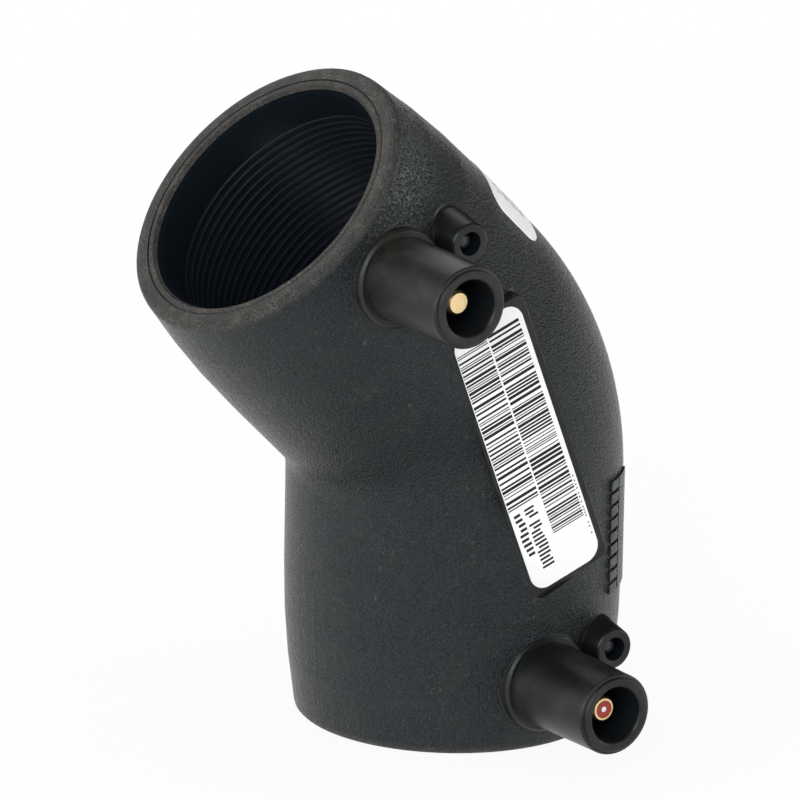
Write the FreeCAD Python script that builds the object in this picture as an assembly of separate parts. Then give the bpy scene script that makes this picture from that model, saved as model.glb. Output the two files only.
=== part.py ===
import FreeCAD, Part
import math
import os

# Electrofusion elbow, 45 degrees, for two plastic pipes of 40 mm.
# Millimetres. The origin is the centre of the lower mouth, which the fitting stands on.
# +Z runs up the lower barrel. The bend lies in the XZ plane and the upper barrel leans towards -X.
# The terminals, the fusion indicators and the barcode label face -Y.

# Pipe sockets
pipe_diameter = 40.0
pipe_play = 0.3
socket_depth = 39.2
stop_height = 3.8
mouth_chamfer_width = 1.0
mouth_chamfer_depth = 1.3
sleeve_wall = 1.9
seam_gap = 0.05

# Moulded body
body_wall = 4.6
bend_angle = 45.0
inner_bend_radius = 5.15
run_past_stop = 0.55
mouth_taper = 1.85
mouth_taper_length = 24.0
mouth_taper_chords = 3
rim_rounding = 1.2
rim_chords = 3

# Heating wire, wound on the sleeves and joined by one link through the bend
wire_diameter = 0.7
winding_start = 6.9
winding_pitch = 1.46
winding_end_margin = 3.0
winding_thickness = 0.8
wire_gap = 0.05
lead_overlap = 0.4

# Terminal shrouds, with heights over the barrel
terminal_depth = 11.2
shroud_reach = 17.95
shroud_floor_reach = 3.55
shroud_tip_radius = 6.6
shroud_base_radius = 6.85
shroud_bore_radius = 4.55
shroud_bore_chamfer = 0.25
shroud_corner = 0.3
shroud_rim_step = 0.4
shroud_rim_ledge = 0.6
collar_radius = 8.0
collar_sink = 0.3
collar_edge = 0.4
corner_bevel_count = 2

# Terminal pins
pin_radius = 2.0
pin_recess = 3.35
pin_chamfer = 0.4
identification_pin_chamfer = 0.25
pin_flange_radius = 2.45
pin_flange_thickness = 2.2
pin_neck_radius = 2.2
pin_neck_rise = 0.1
pin_root_over_seat = 1.95
pin_gap = 0.03

# Identification parts inside the lower pin
insulator_radius = 1.42
insulator_length = 5.8
insulator_recess = 0.15
contact_radius = 0.45
resistor_radius = 1.05
resistor_length = 4.2
resistor_lead_radius = 0.25
resistor_lead_length = 0.6
chamber_radius = 1.3

# Fusion indicators, with heights over the barrel beside the terminal
indicator_depth = 15.65
indicator_offset_share = 0.408
indicator_reach = 4.6
indicator_tip_radius = 3.3
indicator_base_radius = 4.35
indicator_base_sink = 0.95
indicator_rounding = 0.25
indicator_hole_radius = 1.93
indicator_guide_radius = 1.6
indicator_floor_wall = 1.75
indicator_pin_radius = 1.5
indicator_pin_dome = 0.9
indicator_pin_recess = 1.2
indicator_pin_rest_gap = 0.1

# Flat seat and barcode label
label_width = 13.2
label_length = 47.8
label_corner = 2.8
label_thickness = 0.12
label_lift = 0.02
label_lean = 21.4
label_tilt = -2.9
label_shift = -5.16
label_drop = 1.98
label_seat_sink = 0.5
label_margin = 0.9
label_seat_offset = 0.4
label_seat_corner = 1.6
label_seat_edge = 0.2

# Traceability sticker, wrapped on the outside of the upper barrel
sticker_width = 12.4
sticker_length = 31.8
sticker_corner = 3.0
sticker_thickness = 0.12
sticker_lift = 0.02
sticker_gap = 0.8

# Plain raised strip of a mould insert on the lower barrel, with a row of plain bars beside it
relief_height = 18.6
relief_drop = 7.4
relief_rise = 0.3
strip_width = 5.4
strip_direction = -45.3
strip_gap = 0.4
bar_width = 3.2
bar_count = 9
bar_gap = 0.6

# Worked out from the sizes above
socket_radius = pipe_diameter / 2 + pipe_play
sleeve_radius = socket_radius + sleeve_wall
seat_radius = sleeve_radius + seam_gap
passage_radius = socket_radius - stop_height
barrel_radius = seat_radius + body_wall
mouth_radius = barrel_radius - mouth_taper
bend_radius = barrel_radius + inner_bend_radius
half_bend = math.radians(bend_angle / 2)
straight_length = socket_depth + run_past_stop
arm_length = straight_length + bend_radius * math.tan(half_bend)
winding_turns = int((socket_depth - winding_start - winding_end_margin) / winding_pitch)
winding_length = winding_pitch * winding_turns
winding_radius = sleeve_radius - seam_gap - winding_thickness / 2
shroud_end = barrel_radius + shroud_reach
shroud_floor = barrel_radius + shroud_floor_reach
collar_height = barrel_radius - collar_sink
pin_end = shroud_end - pin_recess
pin_root_height = seat_radius + pin_root_over_seat
pin_flange_top = pin_root_height + pin_flange_thickness
pin_neck_top = shroud_floor + pin_neck_rise
indicator_offset = barrel_radius * indicator_offset_share
indicator_foot = math.sqrt(barrel_radius ** 2 - indicator_offset ** 2)
indicator_end = indicator_foot + indicator_reach
indicator_floor = math.sqrt(seat_radius ** 2 - indicator_offset ** 2) + indicator_floor_wall
relief_low = socket_depth - relief_drop - relief_height / 2
bar_pitch = (relief_height + bar_gap) / bar_count
bar_turn = math.degrees((strip_width / 2 + strip_gap + bar_width / 2) / barrel_radius)
cut_beyond = 5.0
half_space = 4 * barrel_radius

up = FreeCAD.Vector(0, 0, 1)
origin = FreeCAD.Vector(0, 0, 0)
bend_corner = FreeCAD.Vector(0, 0, arm_length)
middle_normal = FreeCAD.Vector(-math.sin(half_bend), 0, math.cos(half_bend))


def turned(*profile):
    """Turn a closed profile of (radius, height) points once round the Z axis."""
    points = [FreeCAD.Vector(radius, 0, height) for radius, height in profile]
    return Part.Face(Part.makePolygon(points + points[:1])).revolve(origin, up, 360)


def chords(centre, radius, from_angle, to_angle, count):
    """Profile points along a round corner, which is cut as narrow bevels."""
    points = []
    for number in range(count + 1):
        turn = math.radians(from_angle + (to_angle - from_angle) * number / count)
        points.append((centre[0] + radius * math.cos(turn), centre[1] + radius * math.sin(turn)))
    return points


def eased_corner(radius, height, size):
    """Round off an outer profile corner that has its face on top."""
    return chords((radius - size, height - size), size, 0, 90, corner_bevel_count)


def bevelled_corner(radius, height, size):
    """Bevel an outer profile corner that has its face on top."""
    return (radius, height - size), (radius - size, height)


def mirrored(shape):
    """Carry a shape of the lower arm to the upper arm, across the middle plane of the bend."""
    return shape.mirror(bend_corner, middle_normal)


def below_middle(shape):
    """Keep the part of a shape on the lower arm's side of the middle plane of the bend."""
    corner = FreeCAD.Vector(-half_space, -half_space, 0)
    beyond = Part.makeBox(2 * half_space, 2 * half_space, half_space, corner)
    beyond.rotate(origin, FreeCAD.Vector(0, 1, 0), -bend_angle / 2)
    beyond.translate(bend_corner)
    return shape.cut(beyond)


def facing_front(shape, x, z):
    """Turn a shape from +Z to face -Y and put its axis at x and z."""
    placed = shape.copy()
    placed.rotate(origin, FreeCAD.Vector(1, 0, 0), 90)
    placed.translate(FreeCAD.Vector(x, 0, z))
    return placed


def at_terminal(shape):
    """Place a turned shape on the axis of the lower terminal."""
    return facing_front(shape, 0, terminal_depth)


def at_indicator(shape):
    """Place a turned shape on the axis of the lower fusion indicator."""
    return facing_front(shape, indicator_offset, indicator_depth)


def rounded_plate(width, length, radius, low, high):
    """Upright prism over a rectangle with rounded corners, centred on the Z axis."""
    plate = Part.makeBox(width, length, high - low, FreeCAD.Vector(-width / 2, -length / 2, low))
    upright = [edge for edge in plate.Edges if abs(edge.tangentAt(edge.FirstParameter).z) > 0.5]
    return plate.makeFillet(radius, upright)


def outer_arm():
    """Outside of one arm: rounded rim, swelling mouth and straight barrel."""
    rise = mouth_taper_length - rim_rounding
    swell = (rise ** 2 + mouth_taper ** 2) / (2 * mouth_taper)
    rim = chords((mouth_radius - rim_rounding, rim_rounding), rim_rounding, -90, 0, rim_chords)
    swell_turn = math.degrees(math.asin(rise / swell))
    taper = chords((barrel_radius - swell, mouth_taper_length), swell, -swell_turn, 0, mouth_taper_chords)
    return turned((0, 0), *rim, *taper[1:], (barrel_radius, straight_length), (0, straight_length))


def outer_bend():
    """Outside of the bend between the two arms."""
    start = FreeCAD.Vector(0, 0, straight_length)
    face = Part.Face(Part.Wire(Part.makeCircle(barrel_radius, start, up)))
    pivot = FreeCAD.Vector(-bend_radius, 0, straight_length)
    return face.revolve(pivot, FreeCAD.Vector(0, -1, 0), bend_angle)


def mitred_bar(radius, low, side=0.0):
    """Round bar that runs up the lower arm and ends on the middle plane of the bend."""
    length = arm_length + barrel_radius - low
    return below_middle(Part.makeCylinder(radius, length, FreeCAD.Vector(0, side, low), up))


def link_path(radius):
    """Half of the way through the wall of the bend, from the lower winding to the middle plane."""
    return mitred_bar(radius, winding_start + winding_length - lead_overlap, -winding_radius)


def lead_path(radius):
    """Way from the winding out to the root of a terminal pin."""
    length = pin_root_height - winding_radius
    return at_terminal(Part.makeCylinder(radius, length, FreeCAD.Vector(0, 0, winding_radius), up))


def shroud_form():
    """Collar and slightly tapered cup round one terminal pin, as a solid."""
    ledge_radius = shroud_tip_radius - shroud_rim_ledge
    ledge_height = shroud_end - shroud_rim_step
    return turned(
        (0, pin_root_height),
        (collar_radius, pin_root_height),
        *bevelled_corner(collar_radius, collar_height, collar_edge),
        (shroud_base_radius, collar_height),
        *eased_corner(shroud_tip_radius, ledge_height, shroud_corner),
        (ledge_radius, ledge_height),
        *bevelled_corner(ledge_radius, shroud_end, shroud_corner / 2),
        (0, shroud_end),
    )


def shroud_hollow():
    """Socket in the shroud that the welding plug goes into."""
    mouth_wide = shroud_bore_radius + shroud_bore_chamfer
    return turned(
        (0, shroud_floor),
        (shroud_bore_radius, shroud_floor),
        (shroud_bore_radius, shroud_end - shroud_bore_chamfer),
        (mouth_wide, shroud_end),
        (mouth_wide, shroud_end + cut_beyond),
        (0, shroud_end + cut_beyond),
    )


def pin_form(gap=0.0, chamfer=pin_chamfer):
    """Terminal pin with a moulded-in flange and neck. With a gap it is the seat of the pin in the body."""
    flange = pin_flange_radius + gap
    neck = pin_neck_radius + gap
    shank = pin_radius + gap
    return turned(
        (0, pin_root_height - gap),
        (flange, pin_root_height - gap),
        (flange, pin_flange_top + gap),
        (neck, pin_flange_top + gap),
        (neck, pin_neck_top),
        (shank, pin_neck_top),
        (shank, pin_end - chamfer),
        (shank - chamfer, pin_end),
        (0, pin_end),
    )


def indicator_form():
    """Flared boss round one fusion indicator, as a solid."""
    foot = indicator_foot - indicator_base_sink
    return turned(
        (0, indicator_floor),
        (indicator_base_radius, indicator_floor),
        (indicator_base_radius, foot),
        *bevelled_corner(indicator_tip_radius, indicator_end, indicator_rounding),
        (0, indicator_end),
    )


def indicator_hollow():
    """Stepped hole that the indicator pin rises in."""
    return turned(
        (0, indicator_floor),
        (indicator_guide_radius, indicator_floor),
        (indicator_guide_radius, indicator_foot),
        (indicator_hole_radius, indicator_foot),
        (indicator_hole_radius, indicator_end + cut_beyond),
        (0, indicator_end + cut_beyond),
    )


def on_label_seat(shape):
    """Lay a shape from the XY plane on the flat label seat, with +Z facing out of it."""
    placed = shape.copy()
    placed.rotate(origin, FreeCAD.Vector(0, 1, 0), label_tilt)
    placed.rotate(origin, FreeCAD.Vector(1, 0, 0), 90)
    placed.rotate(origin, FreeCAD.Vector(0, 1, 0), -label_lean)
    placed.translate(FreeCAD.Vector(label_shift, label_seat_sink - barrel_radius, arm_length - label_drop))
    return placed


def label_seat(low, high):
    """Upright prism over the outline of the label seat, which reaches further on the label's right."""
    width = label_width + 2 * label_margin
    length = label_length + 2 * label_margin
    seat = rounded_plate(width, length, label_seat_corner, low, high)
    seat.translate(FreeCAD.Vector(label_seat_offset, 0, 0))
    return seat


def label_seat_block():
    """Raised block under the label with a bevelled upper edge."""
    block = label_seat(-cut_beyond, 0)
    rim = [edge for edge in block.Edges if edge.BoundBox.ZMin > -label_seat_edge]
    return on_label_seat(block.makeChamfer(label_seat_edge, rim))


def raised_patch(width, low, height, direction):
    """Plain patch that stands a little over the skin of the lower barrel."""
    skin = Part.makeCylinder(barrel_radius + relief_rise, 2 * arm_length)
    corner = FreeCAD.Vector(barrel_radius - cut_beyond, -width / 2, low)
    block = Part.makeBox(2 * cut_beyond, width, height, corner)
    block.rotate(origin, up, direction)
    return skin.common(block)


def insert_relief():
    """Plain strip and bars that a mould insert leaves on the lower barrel."""
    patches = [raised_patch(strip_width, relief_low, relief_height, strip_direction)]
    for number in range(bar_count):
        low = relief_low + number * bar_pitch
        patches.append(raised_patch(bar_width, low, bar_pitch - bar_gap, strip_direction - bar_turn))
    return patches


def make_body():
    """Moulded body with sockets, shrouds, indicator bosses, label seat and insert relief."""
    arm_forms = [outer_arm(), at_terminal(shroud_form()), at_indicator(indicator_form())]
    seated = outer_bend().fuse([arm_forms[0], mirrored(arm_forms[0]), label_seat_block()] + insert_relief())
    body = seated.cut(on_label_seat(label_seat(0, cut_beyond)))
    body = body.fuse(arm_forms[1:] + [mirrored(form) for form in arm_forms[1:]])
    wire_hole = wire_diameter / 2 + wire_gap
    hollows = [
        Part.makeCylinder(seat_radius, socket_depth),
        mitred_bar(passage_radius, socket_depth - cut_beyond),
        link_path(wire_hole),
        lead_path(wire_hole),
        at_terminal(shroud_hollow()),
        at_terminal(pin_form(pin_gap)),
        at_indicator(indicator_hollow()),
    ]
    return body.cut(hollows + [mirrored(hollow) for hollow in hollows]).removeSplitter()


def winding_tube(gap=0.0, open_outwards=False):
    """Close turns of the heating wire. With a gap it is their bed in the sleeve."""
    inner = winding_radius - winding_thickness / 2 - gap
    outer = winding_radius + winding_thickness / 2 + (cut_beyond if open_outwards else gap)
    start = FreeCAD.Vector(0, 0, winding_start - gap)
    length = winding_length + 2 * gap
    return Part.makeCylinder(outer, length, start).cut(Part.makeCylinder(inner, length, start))


def make_sleeve():
    """Coil sleeve that lines the lower socket, with a bed for the winding on its outside."""
    end = socket_depth - seam_gap
    sleeve = turned(
        (socket_radius + mouth_chamfer_width, 0),
        (sleeve_radius, 0),
        (sleeve_radius, end),
        (socket_radius, end),
        (socket_radius, mouth_chamfer_depth),
    )
    return sleeve.cut([winding_tube(wire_gap, True), link_path(wire_diameter / 2 + wire_gap)])


def make_heating_wire():
    """The one heating wire: both windings, the link through the bend and a lead to each pin."""
    lower_half = [winding_tube(), link_path(wire_diameter / 2), lead_path(wire_diameter / 2)]
    upper_half = [mirrored(piece) for piece in lower_half]
    return lower_half[0].fuse(lower_half[1:] + upper_half).removeSplitter()


def make_identification_pin():
    """Lower terminal pin, bored for the insulator and the identification resistor."""
    bore_floor = pin_end - insulator_recess - insulator_length
    chamber_floor = bore_floor - resistor_length - 2 * resistor_lead_length
    bore_radius = insulator_radius + pin_gap
    bore = turned(
        (0, chamber_floor),
        (chamber_radius, chamber_floor),
        (chamber_radius, bore_floor),
        (bore_radius, bore_floor),
        (bore_radius, pin_end + cut_beyond),
        (0, pin_end + cut_beyond),
    )
    return at_terminal(pin_form(0.0, identification_pin_chamfer).cut(bore))


def make_insulator():
    """Coloured ring between the pin and its middle contact."""
    top = pin_end - insulator_recess
    low = top - insulator_length + pin_gap
    bore_radius = contact_radius + pin_gap
    ring = turned((bore_radius, low), (insulator_radius, low), (insulator_radius, top), (bore_radius, top))
    return at_terminal(ring)


def make_contact():
    """Middle contact rod."""
    low = pin_end - insulator_recess - insulator_length
    return at_terminal(turned((0, low), (contact_radius, low), (contact_radius, pin_end), (0, pin_end)))


def make_resistor():
    """Identification resistor with a short lead at each end."""
    top = pin_end - insulator_recess - insulator_length - pin_gap
    body_top = top - resistor_lead_length
    body_low = body_top - resistor_length + 2 * pin_gap
    low = body_low - resistor_lead_length
    return at_terminal(turned(
        (0, low),
        (resistor_lead_radius, low),
        (resistor_lead_radius, body_low),
        (resistor_radius, body_low),
        (resistor_radius, body_top),
        (resistor_lead_radius, body_top),
        (resistor_lead_radius, top),
        (0, top),
    ))


def make_indicator():
    """Small pin with a domed end, at rest below the rim of its boss."""
    low = indicator_floor + indicator_pin_rest_gap
    top = indicator_end - indicator_pin_recess
    ball = (indicator_pin_radius ** 2 + indicator_pin_dome ** 2) / (2 * indicator_pin_dome)
    edge_angle = math.degrees(math.acos(indicator_pin_radius / ball))
    dome = chords((0, top - ball), ball, edge_angle, 90, corner_bevel_count)
    return at_indicator(turned((0, low), (indicator_pin_radius, low), *dome))


def make_label():
    """Barcode label on its flat seat."""
    top = label_lift + label_thickness
    return on_label_seat(rounded_plate(label_width, label_length, label_corner, label_lift, top))


def make_sticker():
    """Traceability sticker, wrapped over the outside of the upper barrel."""
    inner = Part.makeCylinder(barrel_radius + sticker_lift, straight_length)
    skin = Part.makeCylinder(barrel_radius + sticker_lift + sticker_thickness, straight_length).cut(inner)
    outline = rounded_plate(sticker_width, sticker_length, sticker_corner, 0, 2 * barrel_radius)
    outline.rotate(origin, FreeCAD.Vector(0, 1, 0), 90)
    outline.translate(FreeCAD.Vector(0, 0, mouth_taper_length + sticker_gap + sticker_width / 2))
    return mirrored(skin.common(outline))


pieces = {
    "elbow_body": make_body(),
    "lower_coil_sleeve": make_sleeve(),
    "upper_coil_sleeve": mirrored(make_sleeve()),
    "heating_wire": make_heating_wire(),
    "upper_terminal_pin": mirrored(at_terminal(pin_form())),
    "lower_terminal_pin": make_identification_pin(),
    "terminal_insulator": make_insulator(),
    "terminal_middle_contact": make_contact(),
    "identification_resistor": make_resistor(),
    "upper_fusion_indicator": mirrored(make_indicator()),
    "lower_fusion_indicator": make_indicator(),
    "barcode_label": make_label(),
    "traceability_sticker": make_sticker(),
}

os.makedirs("parts", exist_ok=True)
for name, shape in pieces.items():
    shape.exportStep("parts/" + name + ".step")
    print(name, "valid:", shape.isValid(), "solids:", len(shape.Solids), "volume:", round(shape.Volume, 2))
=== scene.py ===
"""Looks of a 45 degree electrofusion elbow: finishes, wound bores, label print, light and camera."""
import logging
import math
import random
from dataclasses import dataclass
from enum import Enum
from typing import Callable, Iterable, Optional, Sequence, Union

import bmesh
import bpy
from bpy.types import Material, Node, NodeSocket, Object, World
from mathutils import Matrix, Vector


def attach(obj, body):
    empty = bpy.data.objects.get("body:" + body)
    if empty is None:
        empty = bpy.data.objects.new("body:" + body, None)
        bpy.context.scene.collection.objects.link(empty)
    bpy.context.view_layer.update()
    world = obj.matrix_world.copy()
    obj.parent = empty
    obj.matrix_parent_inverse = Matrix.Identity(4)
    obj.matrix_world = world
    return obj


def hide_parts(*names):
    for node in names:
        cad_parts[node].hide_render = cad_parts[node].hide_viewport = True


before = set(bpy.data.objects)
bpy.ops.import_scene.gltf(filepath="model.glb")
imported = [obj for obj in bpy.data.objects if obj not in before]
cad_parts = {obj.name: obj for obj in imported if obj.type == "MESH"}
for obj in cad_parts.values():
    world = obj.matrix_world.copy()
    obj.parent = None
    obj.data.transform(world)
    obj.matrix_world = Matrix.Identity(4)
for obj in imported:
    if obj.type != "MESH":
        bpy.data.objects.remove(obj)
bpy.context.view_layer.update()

MM = 0.001
PAPER_TOP = 0.14
NOISE_MIDDLE = 0.5
WHITE = (1.0, 1.0, 1.0)
BODY = "elbow"
BOX_SIDES = ((3, 2, 1, 0), (4, 5, 6, 7), (0, 1, 5, 4), (1, 2, 6, 5), (2, 3, 7, 6), (3, 0, 4, 7))

log = logging.getLogger("elbow")


class Arm(Enum):
    """The two arms of the elbow. The upper one is the lower one mirrored."""

    LOWER = "lower"
    UPPER = "upper"


@dataclass(frozen=True)
class ElbowSizes:
    """Sizes of the moulding that the dressing follows, in millimetres and degrees."""

    bend_angle: float = 45.0
    arm_length: float = 53.0048
    barrel_radius: float = 26.85
    seat_radius: float = 22.25
    sleeve_radius: float = 22.2
    socket_radius: float = 20.3
    terminal_depth: float = 11.2
    shroud_end: float = 44.8
    shroud_bore_radius: float = 4.55
    collar_radius: float = 8.0
    indicator_depth: float = 15.65
    indicator_offset: float = 10.9548
    indicator_end: float = 29.115
    indicator_hole_radius: float = 1.93
    indicator_base_radius: float = 4.35

    @property
    def middle_normal(self) -> Vector:
        """Normal of the plane between the two arms."""
        half = math.radians(self.bend_angle / 2)
        return Vector((-math.sin(half), 0.0, math.cos(half)))

    @property
    def bend_corner(self) -> Vector:
        """Point where the axes of the two arms meet."""
        return Vector((0.0, 0.0, self.arm_length))

    def on_arm(self, arm: Arm, point: Vector) -> Vector:
        """Carry a point of the lower arm to the arm that is asked for.

        Args:
            arm: The arm to carry the point to.
            point: The point on the lower arm, in millimetres.

        Returns:
            The point on that arm.
        """
        if arm is Arm.LOWER:
            return point
        height = (point - self.bend_corner).dot(self.middle_normal)
        return point - 2 * height * self.middle_normal


@dataclass(frozen=True)
class LabelSizes:
    """Sizes and place of the barcode label, in millimetres and degrees."""

    width: float = 13.2
    length: float = 47.8
    lean: float = 21.4
    tilt: float = -2.9
    shift: float = -5.16
    drop: float = 1.98
    sink: float = 0.5
    margin: float = 0.9
    seat_offset: float = 0.4

    def placing(self, sizes: ElbowSizes) -> Matrix:
        """Matrix that lays the XY plane on the label's seat.

        Args:
            sizes: The sizes of the moulding.

        Returns:
            The matrix, for points in millimetres.
        """
        turn = Matrix.Rotation(-math.radians(self.lean), 4, "Y")
        turn = turn @ Matrix.Rotation(math.radians(90), 4, "X")
        turn = turn @ Matrix.Rotation(math.radians(self.tilt), 4, "Y")
        height = sizes.arm_length - self.drop
        return Matrix.Translation((self.shift, self.sink - sizes.barrel_radius, height)) @ turn


SIZES = ElbowSizes()
LABEL = LabelSizes()

Feed = Union["Signal", NodeSocket, float, Sequence[float]]
Row = Callable[[float], tuple[float, float]]
Spot = Callable[[float, float, float], Vector]


class Bench:
    """The node tree of a material or a world, and the one way in which nodes are added to it."""

    def __init__(self, owner: Union[Material, World]) -> None:
        """Clear the owner's node tree.

        Args:
            owner: The material or world that gets the nodes.
        """
        self.owner = owner
        owner.use_nodes = True
        self.tree = owner.node_tree
        self.tree.nodes.clear()

    def node(self, kind: str, settings: Optional[dict] = None, inputs: Optional[dict] = None) -> Node:
        """Add a node.

        Args:
            kind: The node's type, without its ShaderNode prefix.
            settings: Properties of the node, which are set first.
            inputs: Values or links of its sockets, by name or number.

        Returns:
            The node.
        """
        made = self.tree.nodes.new("ShaderNode" + kind)
        for name, value in (settings or {}).items():
            setattr(made, name, value)
        for name, value in (inputs or {}).items():
            self._feed(made.inputs[name], value)
        return made

    def _feed(self, socket: NodeSocket, value: Feed) -> None:
        """Link a signal or a socket to a socket, or set its value.

        Args:
            socket: The socket that takes it.
            value: The signal, the socket or the plain value.
        """
        if isinstance(value, Signal):
            self.tree.links.new(value.socket, socket)
        elif isinstance(value, NodeSocket):
            self.tree.links.new(value, socket)
        else:
            socket.default_value = value

    def signal(self, socket: NodeSocket) -> "Signal":
        """Wrap a socket so that it can be used in sums."""
        return Signal(self, socket)

    def place(self) -> "Signal":
        """Position on the object in millimetres, in the frame of the part."""
        spot = self.node("TexCoord").outputs["Object"]
        return self.vector("SCALE", spot, Scale=1 / MM)

    def vector(self, operation: str, first: Feed, second: Optional[Feed] = None, **more: Feed) -> "Signal":
        """Add a Vector Math node.

        Args:
            operation: What it works out.
            first: Its first vector.
            second: Its second vector, if it has one.
            more: Further sockets by name.

        Returns:
            Its vector, or its value for a length, a distance or a dot product.
        """
        inputs = {0: first, **more}
        if second is not None:
            inputs[1] = second
        made = self.node("VectorMath", {"operation": operation}, inputs)
        single = operation in {"LENGTH", "DISTANCE", "DOT_PRODUCT"}
        return Signal(self, made.outputs["Value" if single else "Vector"])

    def part_of(self, vector: Feed) -> list["Signal"]:
        """Split a vector into its three numbers."""
        made = self.node("SeparateXYZ", {}, {0: vector})
        return [Signal(self, made.outputs[axis]) for axis in "XYZ"]

    def mix(self, share: Feed, first: Feed, second: Feed) -> NodeSocket:
        """Blend two colours.

        Args:
            share: How much of the second colour shows, from 0 to 1.
            first: The first colour, or a socket with one.
            second: The second colour, or a socket with one.

        Returns:
            The socket of the blended colour.
        """
        made = self.node("Mix", {"data_type": "RGBA"}, {0: share, 6: colour(first), 7: colour(second)})
        return made.outputs[2]

    def bump(self, height: Feed, inputs: Optional[dict] = None) -> NodeSocket:
        """Normal of a relief whose height is in millimetres."""
        inputs = {"Strength": 1.0, "Distance": MM, "Height": height, **(inputs or {})}
        return self.node("Bump", {}, inputs).outputs[0]

    def finish(self, shader: Node) -> Union[Material, World]:
        """Lead a shader to the owner's surface.

        Args:
            shader: The shader's node.

        Returns:
            The finished material or world.
        """
        kind = "OutputWorld" if isinstance(self.owner, World) else "OutputMaterial"
        self.node(kind, {}, {"Surface": shader.outputs[0]})
        return self.owner


class Signal:
    """A number that a shader works out, used in Python sums."""

    def __init__(self, bench: Bench, socket: NodeSocket) -> None:
        """Wrap a socket of a bench's node tree."""
        self.bench = bench
        self.socket = socket

    def _maths(self, operation: str, *terms: Feed) -> "Signal":
        """Add a Math node and wrap what it gives."""
        made = self.bench.node("Math", {"operation": operation}, dict(enumerate(terms)))
        return Signal(self.bench, made.outputs[0])

    def __add__(self, other: Feed) -> "Signal":
        """Sum of two signals."""
        return self._maths("ADD", self, other)

    __radd__ = __add__

    def __sub__(self, other: Feed) -> "Signal":
        """Difference of two signals."""
        return self._maths("SUBTRACT", self, other)

    def __rsub__(self, other: Feed) -> "Signal":
        """Difference of a number and a signal."""
        return self._maths("SUBTRACT", other, self)

    def __mul__(self, other: Feed) -> "Signal":
        """Product of two signals."""
        return self._maths("MULTIPLY", self, other)

    __rmul__ = __mul__

    def __abs__(self) -> "Signal":
        """Size of the signal without its sign."""
        return self._maths("ABSOLUTE", self)

    def most(self, other: Feed) -> "Signal":
        """The larger of two signals."""
        return self._maths("MAXIMUM", self, other)

    def swing(self) -> "Signal":
        """A noise as its swing to both sides of its middle."""
        return self - NOISE_MIDDLE

    def rise(self, start: float, end: float) -> "Signal":
        """Smooth step from 0 to 1.

        Args:
            start: Where it is 0. It may be above the end, and then the step falls.
            end: Where it is 1.

        Returns:
            The step.
        """
        low, high = min(start, end), max(start, end)
        inputs = {"Value": self, "From Min": low, "From Max": high}
        inputs.update({"To Min": 0.0 if start < end else 1.0, "To Max": 1.0 if start < end else 0.0})
        made = self.bench.node("MapRange", {"interpolation_type": "SMOOTHSTEP"}, inputs)
        return Signal(self.bench, made.outputs[0])


def colour(value: Feed) -> Feed:
    """Add alpha to a plain colour and leave sockets as they are."""
    return value if isinstance(value, (Signal, NodeSocket)) else (*value, 1.0)


@dataclass(frozen=True)
class Cloud:
    """A noise over a surface: how many swings it has to a millimetre, its layers and their strength."""

    scale: float
    layers: float
    strength: float

    def over(self, place: Signal) -> Signal:
        """Spread the noise over a surface.

        Args:
            place: The position in millimetres.

        Returns:
            The noise, from 0 to 1.
        """
        inputs = {"Vector": place, "Scale": self.scale, "Detail": self.layers}
        inputs["Roughness"] = self.strength
        return Signal(place.bench, place.bench.node("TexNoise", {}, inputs).outputs["Fac"])


def fold_to_lower_arm(place: Signal) -> Signal:
    """Mirror the upper arm on the lower one, so that one mask serves both.

    Args:
        place: The position in millimetres.

    Returns:
        The position on the lower arm.
    """
    bench, normal = place.bench, SIZES.middle_normal
    from_corner = bench.vector("SUBTRACT", place, tuple(SIZES.bend_corner))
    height = bench.vector("DOT_PRODUCT", from_corner, tuple(normal)).most(0.0)
    step = bench.vector("SCALE", tuple(2 * normal), Scale=height)
    return bench.vector("SUBTRACT", place, step)


def off_axis(arm: Signal) -> Signal:
    """Distance from the axis of the lower arm, for a position folded to it."""
    return arm.bench.vector("LENGTH", arm.bench.vector("MULTIPLY", arm, (1.0, 1.0, 0.0)))


def round_front_axis(place: Signal, axis: tuple, radius: float, soft: float) -> Signal:
    """Mask of what stands round an axis along Y.

    Args:
        place: The position in millimetres.
        axis: Where the axis is on X and Z.
        radius: How far the mask reaches.
        soft: Width of its soft edge.

    Returns:
        The mask, 1 inside.
    """
    bench = place.bench
    flat = bench.vector("SUBTRACT", place, (axis[0], 0.0, axis[1]))
    flat = bench.vector("MULTIPLY", flat, (1.0, 0.0, 1.0))
    return bench.vector("LENGTH", flat).rise(radius + soft, radius)


@dataclass(frozen=True)
class MouthRim:
    """Dull, scuffed and slightly brown look of the turned rims at the two mouths."""

    base: tuple = (0.020, 0.0188, 0.0170)
    scuffed: tuple = (0.150, 0.138, 0.120)
    scuffs: Cloud = Cloud(3.4, 4.0, 0.7)
    scuff_band: tuple = (0.42, 0.68)
    streaks: Cloud = Cloud(0.35, 3.0, 0.6)
    streak_band: tuple = (0.35, 0.70)
    least_scuffed: float = 0.35
    depth: float = 0.30

    def tone(self, place: Signal) -> NodeSocket:
        """Colour of the rim.

        Args:
            place: The position in millimetres.

        Returns:
            The colour's socket.
        """
        scuffs = self.scuffs.over(place).rise(*self.scuff_band)
        streaks = self.streaks.over(place).rise(*self.streak_band)
        share = scuffs * (self.least_scuffed + (1 - self.least_scuffed) * streaks)
        return place.bench.mix(share, self.base, self.scuffed)

    def height(self, place: Signal) -> Signal:
        """Height of the rim's scuffs, in millimetres."""
        return self.scuffs.over(place).swing() * self.depth


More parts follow.
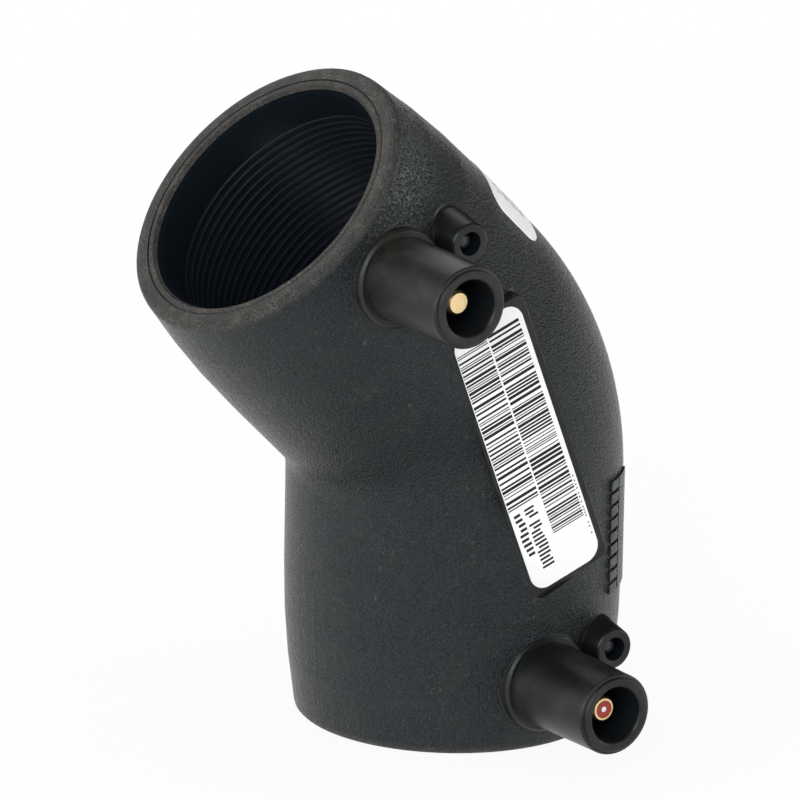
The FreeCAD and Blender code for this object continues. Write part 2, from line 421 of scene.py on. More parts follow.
@dataclass(frozen=True)
class MouldedBody:
    """Black pipe compound from a spark-eroded mould, with smooth places, hollows darkened with painted
    shade, light specks as painted glints, painted sparkle near the upper mouth and a painted warm sheen on
    the smooth places.
    """

    grain_colour: tuple = (0.0055, 0.0070, 0.0080)
    # Painted glints: colour of light specks laid over the grain at random.
    glint_colour: tuple = (0.075, 0.082, 0.088)
    smooth_colour: tuple = (0.0058, 0.0058, 0.0054)
    # Painted warm sheen: lighter brown colour in patches on the smooth places.
    painted_sheen_colour: tuple = (0.0300, 0.0265, 0.0200)
    dusty_colour: tuple = (0.0170, 0.0165, 0.0150)
    scratch_colour: tuple = (0.17, 0.18, 0.19)
    # Painted sparkle: colour of bright grain tips near the upper mouth.
    painted_sparkle_colour: tuple = (0.150, 0.158, 0.160)
    # Painted shade: darker, bluish colour for the hollows (bore, shroud socket, indicator hole).
    hollow_shade_colour: tuple = (0.0030, 0.0050, 0.0075)
    grain_roughness: float = 0.27
    smooth_roughness: float = 0.38
    rim_roughness: float = 0.50
    hollow_roughness: float = 0.60
    flow_roughness: float = 0.10
    uneven_roughness: float = 0.20
    shine: float = 0.33
    shine_tint: tuple = (0.86, 0.96, 1.0)
    flow: Cloud = Cloud(0.16, 3.0, 0.55)
    grain: Cloud = Cloud(2.5, 2.0, 0.65)
    grain_depth: float = 0.55
    glint_specks: Cloud = Cloud(3.2, 2.0, 0.7)
    glint_band: tuple = (0.56, 0.76)
    glint_share: float = 0.5
    scratches: Cloud = Cloud(1.1, 5.0, 0.75)
    scratch_stretch: tuple = (1.0, 1.0, 0.55)
    scratch_band: tuple = (0.58, 0.67)
    scratched_flow: tuple = (0.50, 0.60)
    scratch_share: float = 0.3
    dusty_flow: tuple = (0.40, 0.80)
    dusty_share: float = 0.45
    sheen_flow: tuple = (0.40, 0.68)
    sheen_share: float = 0.45
    sparkle_band: tuple = (0.46, 0.66)
    sparkle_depth: tuple = (13.0, 3.0)
    sparkle_outwards: tuple = (-1.0, 11.0)
    sparkle_height: tuple = (60.0, 62.0)
    waves: Cloud = Cloud(1.1, 3.0, 0.6)
    wave_stretch: tuple = (1.0, 1.0, 3.0)
    wave_depth: float = 0.010
    parting_width: float = 0.20
    parting_core: float = 0.2
    parting_height: float = 0.13
    parting_clear: tuple = (0.3, 0.6)
    edge_radius: float = 0.25
    edge_samples: int = 4
    rim: MouthRim = MouthRim()
    rim_band: tuple = (1.6, 0.4)
    front_band: tuple = (20.0, 21.0)
    collar_edge: float = 0.3
    boss_edge: float = 0.4
    hollow_edge: float = 0.08
    shroud_lip: tuple = (0.3, 1.2)
    hole_lip: tuple = (0.0, 0.3)
    bore_edge: float = 0.2
    seat_edge: float = 0.1

    def material(self) -> Material:
        """Build the finish of the moulded body.

        Returns:
            The material.
        """
        bench = Bench(bpy.data.materials.new("moulded_body"))
        place = bench.place()
        arm = fold_to_lower_arm(place)
        smooth, rim, hollow = self._masks(place, arm)
        grained = (1 - smooth) * (1 - rim) * (1 - hollow)
        flow = self.flow.over(place)
        grain = self.grain.over(place).swing() * grained
        glint_specks = self.glint_specks.over(place).rise(*self.glint_band) * grained
        scratches = self.scratches.over(bench.vector("MULTIPLY", place, self.scratch_stretch))
        scratches = scratches.rise(*self.scratch_band) * grained * flow.rise(*self.scratched_flow)
        dusty = flow.rise(*self.dusty_flow) * self.dusty_share
        painted_sheen = smooth * flow.rise(*self.sheen_flow) * self.sheen_share
        tone = bench.mix(smooth, self.grain_colour, self.smooth_colour)
        # Painted glints: light specks over the grain stand in for its sparkle.
        tone = bench.mix(glint_specks * self.glint_share, tone, self.glint_colour)
        tone = bench.mix(scratches * self.scratch_share, tone, self.scratch_colour)
        # Painted sparkle: bright grain tips near the upper mouth, where a highlight would glint.
        tone = bench.mix(self._painted_sparkle(place, arm) * grained, tone, self.painted_sparkle_colour)
        tone = bench.mix(dusty, tone, self.dusty_colour)
        # Painted warm sheen: lighter brown patches on the smooth places, in place of a warm reflection.
        tone = bench.mix(painted_sheen, tone, self.painted_sheen_colour)
        tone = bench.mix(rim, tone, self.rim.tone(place))
        # Painted shade: the hollows are darkened in their colour.
        tone = bench.mix(hollow, tone, self.hollow_shade_colour)
        rough = self.grain_roughness * grained + self.smooth_roughness * smooth
        rough = rough + self.rim_roughness * rim + self.hollow_roughness * hollow
        rough = rough + flow.swing() * self.flow_roughness + grain * self.uneven_roughness
        normal = self._relief(place, arm, grain, rim)
        inputs = {"Base Color": tone, "Roughness": rough, "Normal": normal}
        inputs.update({"Specular IOR Level": self.shine, "Specular Tint": colour(self.shine_tint)})
        return bench.finish(bench.node("BsdfPrincipled", {}, inputs))

    def _masks(self, place: Signal, arm: Signal) -> tuple[Signal, Signal, Signal]:
        """Find the places that have no grain.

        Args:
            place: The position in millimetres.
            arm: The position folded to the lower arm.

        Returns:
            Masks of the smooth places, of the mouth rims and of the hollows.
        """
        bench = place.bench
        forward = bench.part_of(place)[1] * -1
        ahead = forward.rise(*self.front_band)
        terminal = (0.0, SIZES.terminal_depth)
        indicator = (SIZES.indicator_offset, SIZES.indicator_depth)
        boss_radius = SIZES.indicator_base_radius + self.boss_edge
        shroud = round_front_axis(arm, terminal, SIZES.collar_radius, self.collar_edge)
        boss = round_front_axis(arm, indicator, boss_radius, self.boss_edge)
        seat = self._label_seat(place)
        socket = round_front_axis(arm, terminal, SIZES.shroud_bore_radius, self.hollow_edge)
        socket = socket * forward.rise(*(SIZES.shroud_end - lip for lip in self.shroud_lip))
        hole = round_front_axis(arm, indicator, SIZES.indicator_hole_radius, self.hollow_edge)
        hole = hole * forward.rise(*(SIZES.indicator_end - lip for lip in self.hole_lip))
        bore = off_axis(arm).rise(SIZES.seat_radius + self.bore_edge, SIZES.seat_radius)
        hollow = bore.most(socket.most(hole) * ahead)
        rim = bench.part_of(arm)[2].rise(*self.rim_band) * (1 - hollow)
        smooth = shroud.most(boss).most(seat) * ahead * (1 - hollow) * (1 - rim)
        return smooth, rim, hollow

    def _painted_sparkle(self, place: Signal, arm: Signal) -> Signal:
        """Mask of painted sparkle: bright tips of the grain outside the upper mouth, where a highlight
        would glint.

        Args:
            place: The position in millimetres.
            arm: The position folded to the lower arm.

        Returns:
            The mask.
        """
        bench = place.bench
        outwards, _, depth = bench.part_of(arm)
        where = depth.rise(*self.sparkle_depth) * outwards.rise(*self.sparkle_outwards)
        where = where * bench.part_of(place)[2].rise(*self.sparkle_height)
        return self.glint_specks.over(place).rise(*self.sparkle_band) * where

    def _label_seat(self, place: Signal) -> Signal:
        """Mask of the flat seat round the label.

        Args:
            place: The position in millimetres.

        Returns:
            The mask, 1 on the seat.
        """
        bench, placing = place.bench, LABEL.placing(SIZES)
        spot = bench.vector("SUBTRACT", place, tuple(placing.translation))
        across = bench.vector("DOT_PRODUCT", spot, tuple(placing.col[0].xyz)) - LABEL.seat_offset
        along = bench.vector("DOT_PRODUCT", spot, tuple(placing.col[1].xyz))
        half_width = LABEL.width / 2 + LABEL.margin
        half_length = LABEL.length / 2 + LABEL.margin
        beside = abs(across).rise(half_width + self.seat_edge, half_width)
        return beside * abs(along).rise(half_length + self.seat_edge, half_length)

    def _relief(self, place: Signal, arm: Signal, grain: Signal, rim: Signal) -> NodeSocket:
        """Relief of grain, faint waves, scuffed rims and the parting line.

        Args:
            place: The position in millimetres.
            arm: The position folded to the lower arm.
            grain: The grain, where the surface has it.
            rim: Mask of the mouth rims.

        Returns:
            The normal's socket.
        """
        bench = place.bench
        sideways = bench.part_of(place)[1]
        parting = abs(sideways).rise(self.parting_width, self.parting_width * self.parting_core)
        outside = (SIZES.seat_radius + clear for clear in self.parting_clear)
        parting = parting * off_axis(arm).rise(*outside)
        waves = self.waves.over(bench.vector("MULTIPLY", place, self.wave_stretch))
        height = grain * self.grain_depth + waves * self.wave_depth + parting * self.parting_height
        height = height + self.rim.height(place) * rim
        edges = bench.node("Bevel", {"samples": self.edge_samples}, {"Radius": self.edge_radius * MM})
        return bench.bump(height, {"Normal": edges.outputs[0]})


@dataclass(frozen=True)
class SleevePlastic:
    """Coil sleeve: dull rim at the mouth, deep dark bore, and painted highlights on the crests of the
    winding.
    """

    bore_colour: tuple = (0.0060, 0.0092, 0.0135)
    deep_colour: tuple = (0.0050, 0.0072, 0.0100)
    # Painted highlight: lighter colour on the crests of the ridges.
    crest_highlight_colour: tuple = (0.0250, 0.0290, 0.0340)
    bore_roughness: float = 0.38
    rim_roughness: float = 0.50
    cloud_roughness: float = 0.15
    shine: float = 0.30
    rim_band: tuple = (0.67, 0.57)
    entry_band: tuple = (1.45, 1.35)
    winding_band: tuple = (6.6, 6.9)
    crest_height: float = 0.035
    least_crest_highlight: float = 0.6
    cloud: Cloud = Cloud(1.4, 4.0, 0.65)
    cloud_depth: float = 0.006
    rim: MouthRim = MouthRim()

    def material(self) -> Material:
        """Build the finish of the coil sleeves.

        Returns:
            The material.
        """
        bench = Bench(bpy.data.materials.new("sleeve_plastic"))
        place = bench.place()
        arm = fold_to_lower_arm(place)
        depth = bench.part_of(arm)[2]
        rim = depth.rise(*self.rim_band)
        entry = depth.rise(*self.entry_band) * (1 - rim)
        crest_root = SIZES.socket_radius + self.crest_height
        crest = off_axis(arm).rise(crest_root, SIZES.socket_radius) * depth.rise(*self.winding_band)
        cloud = self.cloud.over(place)
        # Painted highlight: the crests are lighter in colour, more so where the cloud is high.
        painted_sheen = crest * (self.least_crest_highlight + (1 - self.least_crest_highlight) * cloud)
        tone = bench.mix(painted_sheen, self.bore_colour, self.crest_highlight_colour)
        tone = bench.mix(rim, tone, self.rim.tone(place))
        rough = self.bore_roughness + (self.rim_roughness - self.bore_roughness) * rim
        rough = rough + cloud.swing() * self.cloud_roughness
        height = cloud * self.cloud_depth + self.rim.height(place) * rim
        inputs = {"Base Color": tone, "Roughness": rough, "Normal": bench.bump(height)}
        inputs["Specular IOR Level"] = self.shine
        gloss = bench.node("BsdfPrincipled", {}, inputs)
        dull = bench.node("BsdfDiffuse", {}, {"Color": colour(self.deep_colour)})
        shader = bench.node("MixShader", {}, {0: entry, 1: gloss.outputs[0], 2: dull.outputs[0]})
        return bench.finish(shader)


@dataclass(frozen=True)
class PlainPlastic:
    """Smooth plastic with faint mottling and fine scuffs."""

    name: str
    base: tuple
    spread: tuple
    roughness: float
    cloud: Cloud = Cloud(0.35, 3.0, 0.6)
    cloud_band: tuple = (0.35, 0.70)
    scuffs: Cloud = Cloud(1.4, 4.0, 0.65)
    scuff_roughness: float = 0.18
    scuff_depth: float = 0.006

    def material(self) -> Material:
        """Build the finish.

        Returns:
            The material.
        """
        bench = Bench(bpy.data.materials.new(self.name))
        place = bench.place()
        scuffs = self.scuffs.over(place)
        cloud = self.cloud.over(place).rise(*self.cloud_band)
        inputs = {
            "Base Color": bench.mix(cloud, self.base, self.spread),
            "Roughness": self.roughness + scuffs.swing() * self.scuff_roughness,
            "Normal": bench.bump(scuffs * self.scuff_depth),
        }
        return bench.finish(bench.node("BsdfPrincipled", {}, inputs))


@dataclass(frozen=True)
class TurnedMetal:
    """Machined metal with fine turning marks and slight tarnish."""

    name: str
    base: tuple
    tarnish: tuple
    roughness: float
    marks: Cloud = Cloud(9.0, 2.0, 0.5)
    marks_stretch: tuple = (1.0, 4.0, 1.0)
    marks_roughness: float = 0.20
    marks_depth: float = 0.004
    stain: Cloud = Cloud(0.8, 3.0, 0.6)
    stain_band: tuple = (0.45, 0.75)
    stain_share: float = 0.6
    stain_roughness: float = 0.12

    def material(self) -> Material:
        """Build the finish.

        Returns:
            The material.
        """
        bench = Bench(bpy.data.materials.new(self.name))
        place = bench.place()
        marks = self.marks.over(bench.vector("MULTIPLY", place, self.marks_stretch))
        stain = self.stain.over(place)
        stained = stain.rise(*self.stain_band) * self.stain_share
        rough = self.roughness + marks.swing() * self.marks_roughness
        inputs = {
            "Base Color": bench.mix(stained, self.base, self.tarnish),
            "Roughness": rough + stain.swing() * self.stain_roughness,
            "Normal": bench.bump(marks * self.marks_depth),
            "Metallic": 1.0,
        }
        return bench.finish(bench.node("BsdfPrincipled", {}, inputs))


@dataclass(frozen=True)
class CoatedPaper:
    """White label stock with a faint fibre and a soft sheen."""

    base: tuple = (0.93, 0.93, 0.92)
    shade: tuple = (0.88, 0.88, 0.87)
    roughness: float = 0.42
    fibre: Cloud = Cloud(2.2, 4.0, 0.7)
    fibre_band: tuple = (0.4, 0.7)
    fibre_share: float = 0.35
    fibre_roughness: float = 0.12
    fibre_depth: float = 0.004
    cloud: Cloud = Cloud(0.12, 2.0, 0.5)
    cloud_share: float = 0.2

    def material(self) -> Material:
        """Build the finish.

        Returns:
            The material.
        """
        bench = Bench(bpy.data.materials.new("label_stock"))
        place = bench.place()
        fibre = self.fibre.over(place)
        cloud = self.cloud.over(place)
        shaded = fibre.rise(*self.fibre_band) * self.fibre_share + cloud * self.cloud_share
        inputs = {
            "Base Color": bench.mix(shaded, self.base, self.shade),
            "Roughness": self.roughness + fibre.swing() * self.fibre_roughness,
            "Normal": bench.bump(fibre * self.fibre_depth),
        }
        return bench.finish(bench.node("BsdfPrincipled", {}, inputs))


@dataclass(frozen=True)
class PrintInk:
    """Thermal print, black with a worn and slightly uneven tone."""

    name: str
    base: tuple
    worn: tuple
    wear: Cloud = Cloud(3.5, 3.0, 0.6)
    wear_band: tuple = (0.45, 0.75)
    roughness: float = 0.5
    wear_roughness: float = 0.15
    shine: float = 0.25

    def material(self) -> Material:
        """Build the finish.

        Returns:
            The material.
        """
        bench = Bench(bpy.data.materials.new(self.name))
        wear = self.wear.over(bench.place())
        inputs = {
            "Base Color": bench.mix(wear.rise(*self.wear_band), self.base, self.worn),
            "Roughness": self.roughness + wear.swing() * self.wear_roughness,
            "Specular IOR Level": self.shine,
        }
        return bench.finish(bench.node("BsdfPrincipled", {}, inputs))


def add_mesh(
    name: str, points: Iterable[Vector], faces: Iterable[Sequence[int]], finish: Material
) -> Object:
    """Make an object from points in millimetres.

    Args:
        name: The piece's name.
        points: Its points.
        faces: Its faces, as numbers of the points.
        finish: Its material.

    Returns:
        The object, already in the scene.
    """
    mesh = bpy.data.meshes.new(name)
    mesh.from_pydata([tuple(point * MM) for point in points], [], list(faces))
    mesh.materials.append(finish)
    piece = bpy.data.objects.new(name, mesh)
    bpy.context.scene.collection.objects.link(piece)
    return piece


def stand_ink(name: str, boxes: list[tuple], spot: Spot, ink: float, finish: Material) -> Object:
    """Stand flat boxes of ink on the label or the sticker.

    Args:
        name: The piece's name.
        boxes: Low and high u and low and high v of each box, in millimetres.
        spot: Where a point with its u, its v and its height is.
        ink: How far the boxes reach over and under the face of the paper.
        finish: The ink.

    Returns:
        The piece.
    """
    points, faces = [], []
    for low_u, high_u, low_v, high_v in boxes:
        first = len(points)
        for height in (PAPER_TOP - ink, PAPER_TOP + ink):
            corners = ((low_u, low_v), (high_u, low_v), (high_u, high_v), (low_u, high_v))
            points += [spot(u, v, height) for u, v in corners]
        faces += [tuple(first + corner for corner in side) for side in BOX_SIDES]
    piece = add_mesh(name, points, faces, finish)
    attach(piece, BODY)
    return piece


def tidy_mesh(piece: Object, merge: float, sharp_angle: float) -> None:
    """Weld doubled points, turn the faces outwards and shade them smooth up to an angle.

    Args:
        piece: The object to tidy.
        merge: Distance within which points are one, in millimetres.
        sharp_angle: Angle over which an edge stays sharp, in degrees.
    """
    work = bmesh.new()
    work.from_mesh(piece.data)
    bmesh.ops.remove_doubles(work, verts=work.verts, dist=merge * MM)
    bmesh.ops.dissolve_degenerate(work, edges=work.edges, dist=merge * MM)
    bmesh.ops.recalc_face_normals(work, faces=work.faces)
    limit = math.radians(sharp_angle)
    for edge in work.edges:
        edge.smooth = len(edge.link_faces) == 2 and edge.calc_face_angle(0.0) < limit
    for face in work.faces:
        face.smooth = True
    work.to_mesh(piece.data)
    work.free()


@dataclass
class WoundSleeve:
    """Coil sleeve whose bore shows the turns of the buried heating wire as fine ridges."""

    arm: Arm
    finish: Material
    length: float = 39.15
    chamfer_width: float = 1.0
    chamfer_depth: float = 1.3
    outer_chamfer: float = 0.14
    bed_start: float = 6.85
    bed_end: float = 36.15
    bed_radius: float = 21.3
    ridge_start: float = 6.6
    ridge_pitch: float = 1.46
    ridge_turns: int = 20
    ridge_depth: float = 0.15
    ridge_half_width: float = 0.26
    ridge_middle: float = 0.5
    ridge_fade: float = 0.5
    ridge_rows: tuple = (0.0, 0.32, 0.40, 0.45, 0.5, 0.55, 0.60, 0.68)
    segments: int = 144
    merge: float = 0.001
    sharp_angle: float = 30.0

    def build(self) -> Object:
        """Make the sleeve in place of the plain CAD one.

        Returns:
            The sleeve.
        """
        rows = self._outside_rows() + self._bore_rows()
        points = []
        for number in range(self.segments + 1):
            angle = 2 * math.pi * number / self.segments
            for row in rows:
                radius, height = row(number / self.segments)
                spot = Vector((radius * math.cos(angle), radius * math.sin(angle), height))
                points.append(SIZES.on_arm(self.arm, spot))
        count = len(rows)
        faces = []
        for number in range(self.segments):
            for row in range(count):
                after = (row + 1) % count
                here, there = number * count, (number + 1) * count
                faces.append((here + row, here + after, there + after, there + row))
        node = f"{self.arm.value}_coil_sleeve"
        sleeve = add_mesh(f"{self.arm.value}_wound_sleeve", points, faces, self.finish)
        tidy_mesh(sleeve, self.merge, self.sharp_angle)
        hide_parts(node)
        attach(sleeve, BODY)
        return sleeve

    def _outside_rows(self) -> list[Row]:
        """Rows of the outside, from the far end to the mouth.

        Returns:
            A function for each row, from the share of a turn to its radius and height.
        """
        outer = SIZES.sleeve_radius
        profile = [
            (SIZES.socket_radius, self.length),
            (outer, self.length),
            (outer, self.bed_end),
            (self.bed_radius, self.bed_end),
            (self.bed_radius, self.bed_start),
            (outer, self.bed_start),
            (outer, self.outer_chamfer),
            (outer - self.outer_chamfer, 0.0),
            (SIZES.socket_radius + self.chamfer_width, 0.0),
            (SIZES.socket_radius, self.chamfer_depth),
        ]
        return [lambda turn, point=point: point for point in profile]

    def _bore_rows(self) -> list[Row]:
        """Rows of the bore, which climb with the winding from its start to its end.

        Returns:
            A function for each row, from the share of a turn to its radius and height.
        """
        rows = []
        for turn_number in range(-1, self.ridge_turns + 1):
            for share in self.ridge_rows:
                rows.append(self._climbing_row(turn_number + share, share))
        return rows

    def _climbing_row(self, turns: float, share: float) -> Row:
        """One row of the bore.

        Args:
            turns: How many turns after the start it begins.
            share: Where it lies between two ridges.

        Returns:
            A function from the share of a turn to the row's radius and height.
        """
        end = self.ridge_start + self.ridge_pitch * self.ridge_turns
        nearness = max(0.0, 1 - abs(share - self.ridge_middle) / self.ridge_half_width)
        swell = nearness * nearness * (3 - 2 * nearness)

        def row(turn: float) -> tuple[float, float]:
            """Follow the row round the bore.

            Args:
                turn: The share of a turn.

            Returns:
                The radius and the height there.
            """
            height = self.ridge_start + self.ridge_pitch * (turns + turn)
            height = min(max(height, self.ridge_start), end)
            from_end = min(height - self.ridge_start, end - height)
            depth = self.ridge_depth * max(0.0, min(1.0, from_end / self.ridge_fade))
            return SIZES.socket_radius + depth - depth * swell, height

        return row


@dataclass(frozen=True)
class PrintField:
    """A field of print on the label: its sides, its ends and the step from stroke to stroke."""

    left: float
    right: float
    top: float
    bottom: float
    step: float = 0.0


@dataclass
class LabelPrint:
    """Plain bars and short strokes in the place of the label's print, as ink that stands proud."""

    finish: Material
    faint: Material
    columns: tuple = (
        PrintField(left=-6.5, right=-0.62, top=20.6, bottom=-8.5),
        PrintField(left=-0.30, right=5.72, top=21.2, bottom=-16.2),
    )
    lines: tuple = (
        PrintField(left=-3.9, right=-1.65, top=-9.5, bottom=-21.4, step=0.72),
        PrintField(left=-5.95, right=-4.35, top=-9.6, bottom=-17.8, step=0.92),
    )
    dots: PrintField = PrintField(left=5.95, right=6.2, top=-8.9, bottom=-20.2)
    module: float = 0.19
    bar_modules: tuple = (1, 1, 2, 2, 3, 3)
    gap_modules: tuple = (1, 1, 1, 2, 2, 3)
    bar_fill: float = 0.92
    stroke_fill: float = 0.52
    stroke_inset: float = 0.3
    left_chance: float = 0.5
    word_gap_chance: float = 0.14
    dot_height: float = 0.3
    dot_steps: tuple = (0.55, 0.7, 0.7, 0.95, 1.3)
    ink: float = 0.012
    seed: int = 4

    def build(self) -> list[Object]:
        """Make both columns of bars, the strokes in place of words and the row of dots.

        Returns:
            The pieces of print.
        """
        chance = random.Random(self.seed)
        bars = [bar for field in self.columns for bar in self._bars(chance, field)]
        strokes = [stroke for field in self.lines for stroke in self._strokes(chance, field)]
        dots = self._dots(chance, self.dots)
        return [
            stand_ink("barcode_bars", bars, self._spot, self.ink, self.finish),
            stand_ink("code_strokes", strokes, self._spot, self.ink, self.finish),
            stand_ink("edge_dots", dots, self._spot, self.ink, self.faint),
        ]

    def _bars(self, chance: random.Random, field: PrintField) -> list[tuple]:
        """Bars of one column, with chance widths of whole modules.

        Args:
            chance: The seeded source of widths.
            field: Where the column is.

        Returns:
            Boxes of the bars on the label.
        """
        bars, height = [], field.top
        while height > field.bottom:
            width = chance.choice(self.bar_modules) * self.module
            low = max(height - width * self.bar_fill, field.bottom)
            bars.append((field.left, field.right, low, height))
            height -= width + chance.choice(self.gap_modules) * self.module
        return bars

    def _strokes(self, chance: random.Random, field: PrintField) -> list[tuple]:
        """Short plain strokes across the label, in place of a line of words.

        Args:
            chance: The seeded source of lengths and gaps.
            field: Where the line is.

        Returns:
            Boxes of the strokes on the label.
        """
        strokes, height = [], field.top
        while height > field.bottom:
            inset = chance.uniform(0.0, self.stroke_inset) * (field.right - field.left)
            left_side = chance.random() < self.left_chance
            low = field.left + (inset if left_side else 0.0)
            high = field.right - (0.0 if left_side else inset)
            strokes.append((low, high, height - field.step * self.stroke_fill, height))
            height -= field.step * (2 if chance.random() < self.word_gap_chance else 1)
        return strokes

    def _dots(self, chance: random.Random, field: PrintField) -> list[tuple]:
        """Small dots along the label's right edge.

        Args:
            chance: The seeded source of steps.
            field: Where the dots are.

        Returns:
            Boxes of the dots on the label.
        """
        dots, height = [], field.top
        while height > field.bottom:
            dots.append((field.left, field.right, height, height + self.dot_height))
            height -= chance.choice(self.dot_steps)
        return dots

    @staticmethod
    def _spot(u: float, v: float, height: float) -> Vector:
        """Point over the label's seat, from its way across, its way along and its height."""
        return LABEL.placing(SIZES) @ Vector((u, v, height))


@dataclass
class StickerPrint:
    """Faint rows of short strokes that wrap over the sticker on the outside of the bend."""

    finish: Material
    rows: tuple = (27.2, 29.4, 31.6, 33.8)
    stroke_height: float = 1.3
    stroke_widths: tuple = (0.18, 0.42)
    stroke_gaps: tuple = (0.45, 0.6, 0.6, 1.5)
    reach: float = 11.5
    ink: float = 0.015
    seed: int = 11

    def build(self) -> Object:
        """Make the rows of strokes.

        Returns:
            The piece.
        """
        chance = random.Random(self.seed)
        boxes = []
        for low in self.rows:
            spot = -self.reach
            while spot < self.reach:
                width = chance.uniform(*self.stroke_widths)
                boxes.append((spot, spot + width, low, low + self.stroke_height))
                spot += width + chance.choice(self.stroke_gaps)
        return stand_ink("sticker_strokes", boxes, self._spot, self.ink, self.finish)

    @staticmethod
    def _spot(along: float, depth: float, height: float) -> Vector:
        """Point over the upper barrel.

        Args:
            along: Its way round from the outside of the bend.
            depth: Its way in from the mouth.
            height: Its height over the barrel.

        Returns:
            The point, in millimetres.
        """
        angle = along / SIZES.barrel_radius
        radius = SIZES.barrel_radius + height
        spot = Vector((radius * math.cos(angle), radius * math.sin(angle), depth))
        return SIZES.on_arm(Arm.UPPER, spot)


@dataclass
class CadFinishes:
    """Finishes of the CAD pieces that show as they are."""

    body: MouldedBody = MouldedBody()
    indicator: PlainPlastic = PlainPlastic(
        "indicator_plastic", base=(0.014, 0.015, 0.017), spread=(0.020, 0.021, 0.023), roughness=0.30
    )
    insulator: PlainPlastic = PlainPlastic(
        "insulator_plastic", base=(0.42, 0.045, 0.025), spread=(0.36, 0.05, 0.03), roughness=0.38
    )
    resistor: PlainPlastic = PlainPlastic(
        "resistor_coating", base=(0.35, 0.27, 0.15), spread=(0.30, 0.22, 0.12), roughness=0.40
    )
    brass: TurnedMetal = TurnedMetal(
        "terminal_brass", base=(0.93, 0.70, 0.38), tarnish=(0.80, 0.53, 0.24), roughness=0.30
    )
    contact: TurnedMetal = TurnedMetal(
        "contact_metal", base=(0.78, 0.78, 0.80), tarnish=(0.66, 0.66, 0.68), roughness=0.22
    )
    winding: TurnedMetal = TurnedMetal(
        "winding_metal", base=(0.86, 0.62, 0.42), tarnish=(0.70, 0.45, 0.28), roughness=0.34
    )
    paper: CoatedPaper = CoatedPaper()

    def dress(self) -> None:
        """Give each CAD piece its finish."""
        wearers = {
            self.body: ("elbow_body",),
            self.winding: ("heating_wire",),
            self.brass: ("upper_terminal_pin", "lower_terminal_pin"),
            self.insulator: ("terminal_insulator",),
            self.contact: ("terminal_middle_contact",),
            self.resistor: ("identification_resistor",),
            self.indicator: ("upper_fusion_indicator", "lower_fusion_indicator"),
            self.paper: ("barcode_label", "traceability_sticker"),
        }
        for finish, nodes in wearers.items():
            material = finish.material()
            for node in nodes:
                self._dress_one(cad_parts[node], material)
                log.info("finish on %s: %s", node, material.name)

    @staticmethod
    def _dress_one(piece: Object, finish: Material) -> None:
        """Put one finish on all the material slots of a CAD piece.

        Args:
            piece: The CAD piece.
            finish: Its material.
        """
        if not piece.material_slots:
            piece.data.materials.append(finish)
        for slot in piece.material_slots:
            slot.material = finish


@dataclass(frozen=True)
class Lamp:
    """One soft square lamp, in metres and watts, that faces the part."""

    name: str
    spot: tuple
    size: float
    power: float

    def hang(self, aim: Vector) -> None:
        """Put the lamp in the scene.

        Args:
            aim: The point that it faces, in metres.
        """
        data = bpy.data.lights.new(self.name, "AREA")
        data.shape = "SQUARE"
        data.size = self.size
        data.energy = self.power
        lamp = bpy.data.objects.new(self.name, data)
        lamp.location = self.spot
        lamp.rotation_mode = "QUATERNION"
        lamp.rotation_quaternion = (Vector(self.spot) - aim).to_track_quat("Z", "Y")
        lamp.visible_camera = False
        bpy.context.scene.collection.objects.link(lamp)


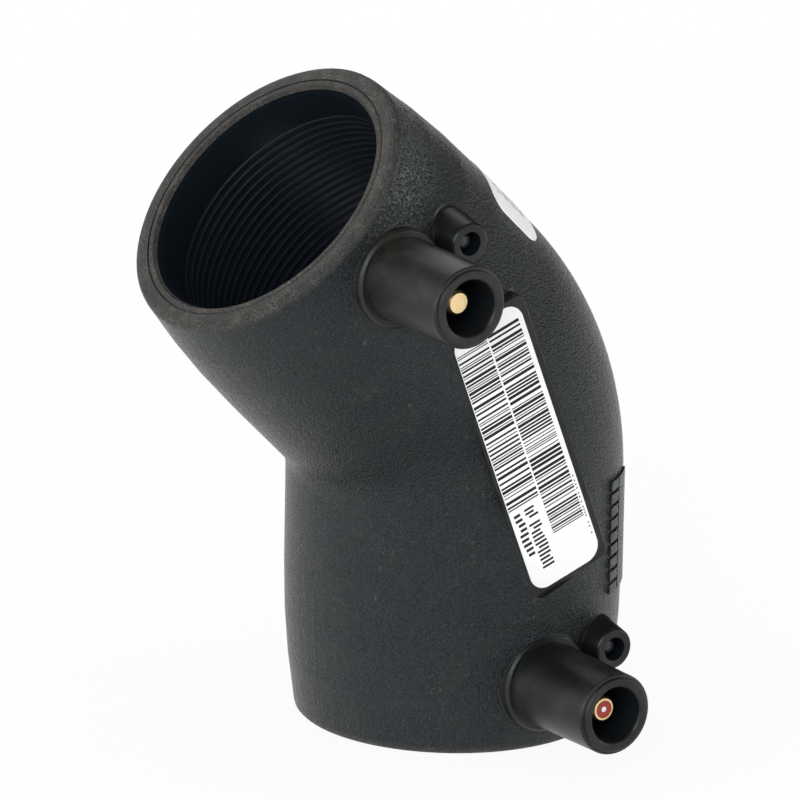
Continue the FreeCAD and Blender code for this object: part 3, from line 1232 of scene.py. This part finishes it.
@dataclass
class Studio:
    """Pale floor and plain soft light, brighter at eye level than overhead."""

    floor_size: float = 1.8
    floor_drop: float = 0.1
    floor_tone: tuple = (0.86, 0.86, 0.86)
    glow_share: float = 0.92
    fade_from: float = 120.0
    fade_to: float = 420.0
    overhead_band: tuple = (0.25, 0.75)
    overhead_level: float = 0.12
    dim_side: tuple = (0.90, 0.42, 0.12)
    dim_band: tuple = (0.55, 0.82)
    dim_level: float = 0.03
    soft_level: float = 0.62
    aim: Vector = Vector((-0.01, 0.0, 0.05))
    lamps: tuple = (
        Lamp("key", spot=(-1.15, -1.00, 0.75), size=0.9, power=13.0),
        Lamp("fill", spot=(0.45, -1.60, 0.70), size=0.8, power=2.0),
        Lamp("side", spot=(-1.50, 0.35, 0.35), size=0.9, power=10.0),
        Lamp("right", spot=(1.40, -0.80, 0.34), size=0.5, power=5.0),
        Lamp("back", spot=(0.48, 1.20, 0.96), size=1.0, power=4.5),
    )

    def build(self) -> None:
        """Lay the floor, light the world and hang the lamps."""
        self._floor()
        self._world()
        for lamp in self.lamps:
            lamp.hang(self.aim)

    @staticmethod
    def _seen(bench: Bench) -> Signal:
        """Mask of the rays that see the white background.

        Args:
            bench: The bench of the floor or the world.

        Returns:
            The mask, 1 for the rays of the eye, of gloss and of glass.
        """
        path = bench.node("LightPath")
        seen = bench.signal(path.outputs["Is Camera Ray"]).most(path.outputs["Is Glossy Ray"])
        return seen.most(path.outputs["Is Transmission Ray"])

    def _floor(self) -> None:
        """Pale floor that keeps the shadow and fades to white far from the part."""
        bench = Bench(bpy.data.materials.new("studio_floor"))
        far = bench.vector("LENGTH", bench.place()).rise(self.fade_from, self.fade_to)
        share = self._seen(bench) * (self.glow_share + (1 - self.glow_share) * far)
        cloth = bench.node("BsdfDiffuse", {}, {"Color": colour(self.floor_tone)})
        glow = bench.node("Emission", {}, {"Color": colour(WHITE), "Strength": 1.0})
        blend = bench.node("MixShader", {}, {0: share, 1: cloth.outputs[0], 2: glow.outputs[0]})
        half = self.floor_size / 2 / MM
        sides = ((-1, -1), (1, -1), (1, 1), (-1, 1))
        corners = [Vector((x * half, y * half, -self.floor_drop)) for x, y in sides]
        floor = add_mesh("studio_floor", corners, [(0, 1, 2, 3)], bench.finish(blend))

    def _world(self) -> None:
        """White surroundings, of which gloss shows less overhead and on one side."""
        world = bpy.data.worlds.new("studio")
        bpy.context.scene.world = world
        bench = Bench(world)
        way = bench.node("TexCoord").outputs["Generated"]
        upward = bench.part_of(way)[2]
        overhead = upward.rise(*self.overhead_band)
        beside = bench.vector("DOT_PRODUCT", way, self.dim_side).rise(*self.dim_band)
        room = (1 - (1 - self.overhead_level) * overhead) * (1 - (1 - self.dim_level) * beside)
        eye = bench.signal(bench.node("LightPath").outputs["Is Camera Ray"])
        seen = self._seen(bench)
        level = (room * (1 - eye) + eye) * seen + self.soft_level * (1 - seen)
        bench.finish(bench.node("Background", {}, {"Color": colour(WHITE), "Strength": level}))


@dataclass
class PhotoCamera:
    """Camera at the photograph's viewing angle, for a square picture."""

    azimuth: float = -35.701
    elevation: float = 17.519
    roll: float = 1.136
    distance: float = 1782.9
    target_height: float = 50.0
    aim_right: float = -8.814
    aim_up: float = 0.908
    sensor: float = 36.0
    lens: float = 505.85
    nearest: float = 0.05
    farthest: float = 100.0

    def build(self) -> Object:
        """Place the camera and make it the scene's own.

        Returns:
            The camera.
        """
        turn, lift, roll = map(math.radians, (self.azimuth, self.elevation, self.roll))
        back = Vector((math.sin(turn) * math.cos(lift), -math.cos(turn) * math.cos(lift), math.sin(lift)))
        level = Vector((math.cos(turn), math.sin(turn), 0.0))
        rise = back.cross(level)
        right = level * math.cos(roll) + rise * math.sin(roll)
        upright = rise * math.cos(roll) - level * math.sin(roll)
        target = Vector((0.0, 0.0, self.target_height))
        spot = target + back * self.distance
        aim = target + right * self.aim_right + upright * self.aim_up
        towards = (spot - aim).normalized()
        side = upright.cross(towards).normalized()
        up = towards.cross(side)
        data = bpy.data.cameras.new("photo_camera")
        data.sensor_width = self.sensor
        data.lens = self.lens
        data.clip_start = self.nearest
        data.clip_end = self.farthest
        camera = bpy.data.objects.new("photo_camera", data)
        camera.rotation_mode = "QUATERNION"
        camera.rotation_quaternion = Matrix((side, up, towards)).transposed().to_quaternion()
        camera.location = spot * MM
        bpy.context.scene.collection.objects.link(camera)
        bpy.context.scene.camera = camera
        return camera


def main() -> None:
    """Build the camera, the pieces and the studio in order."""
    bpy.context.scene.view_settings.view_transform = "Standard"
    PhotoCamera().build()
    CadFinishes().dress()
    sleeve_plastic = SleevePlastic().material()
    ink = PrintInk("print_ink", base=(0.004, 0.004, 0.0045), worn=(0.014, 0.014, 0.014)).material()
    faint = PrintInk("faint_ink", base=(0.16, 0.16, 0.17), worn=(0.26, 0.26, 0.27)).material()
    for arm in Arm:
        sleeve = WoundSleeve(arm, sleeve_plastic).build()
        log.info("made %s", sleeve.name)
    for piece in (*LabelPrint(ink, faint).build(), StickerPrint(faint).build()):
        log.info("made %s", piece.name)
    Studio().build()


if __name__ == "__main__":
    logging.basicConfig(level=logging.INFO)
    main()
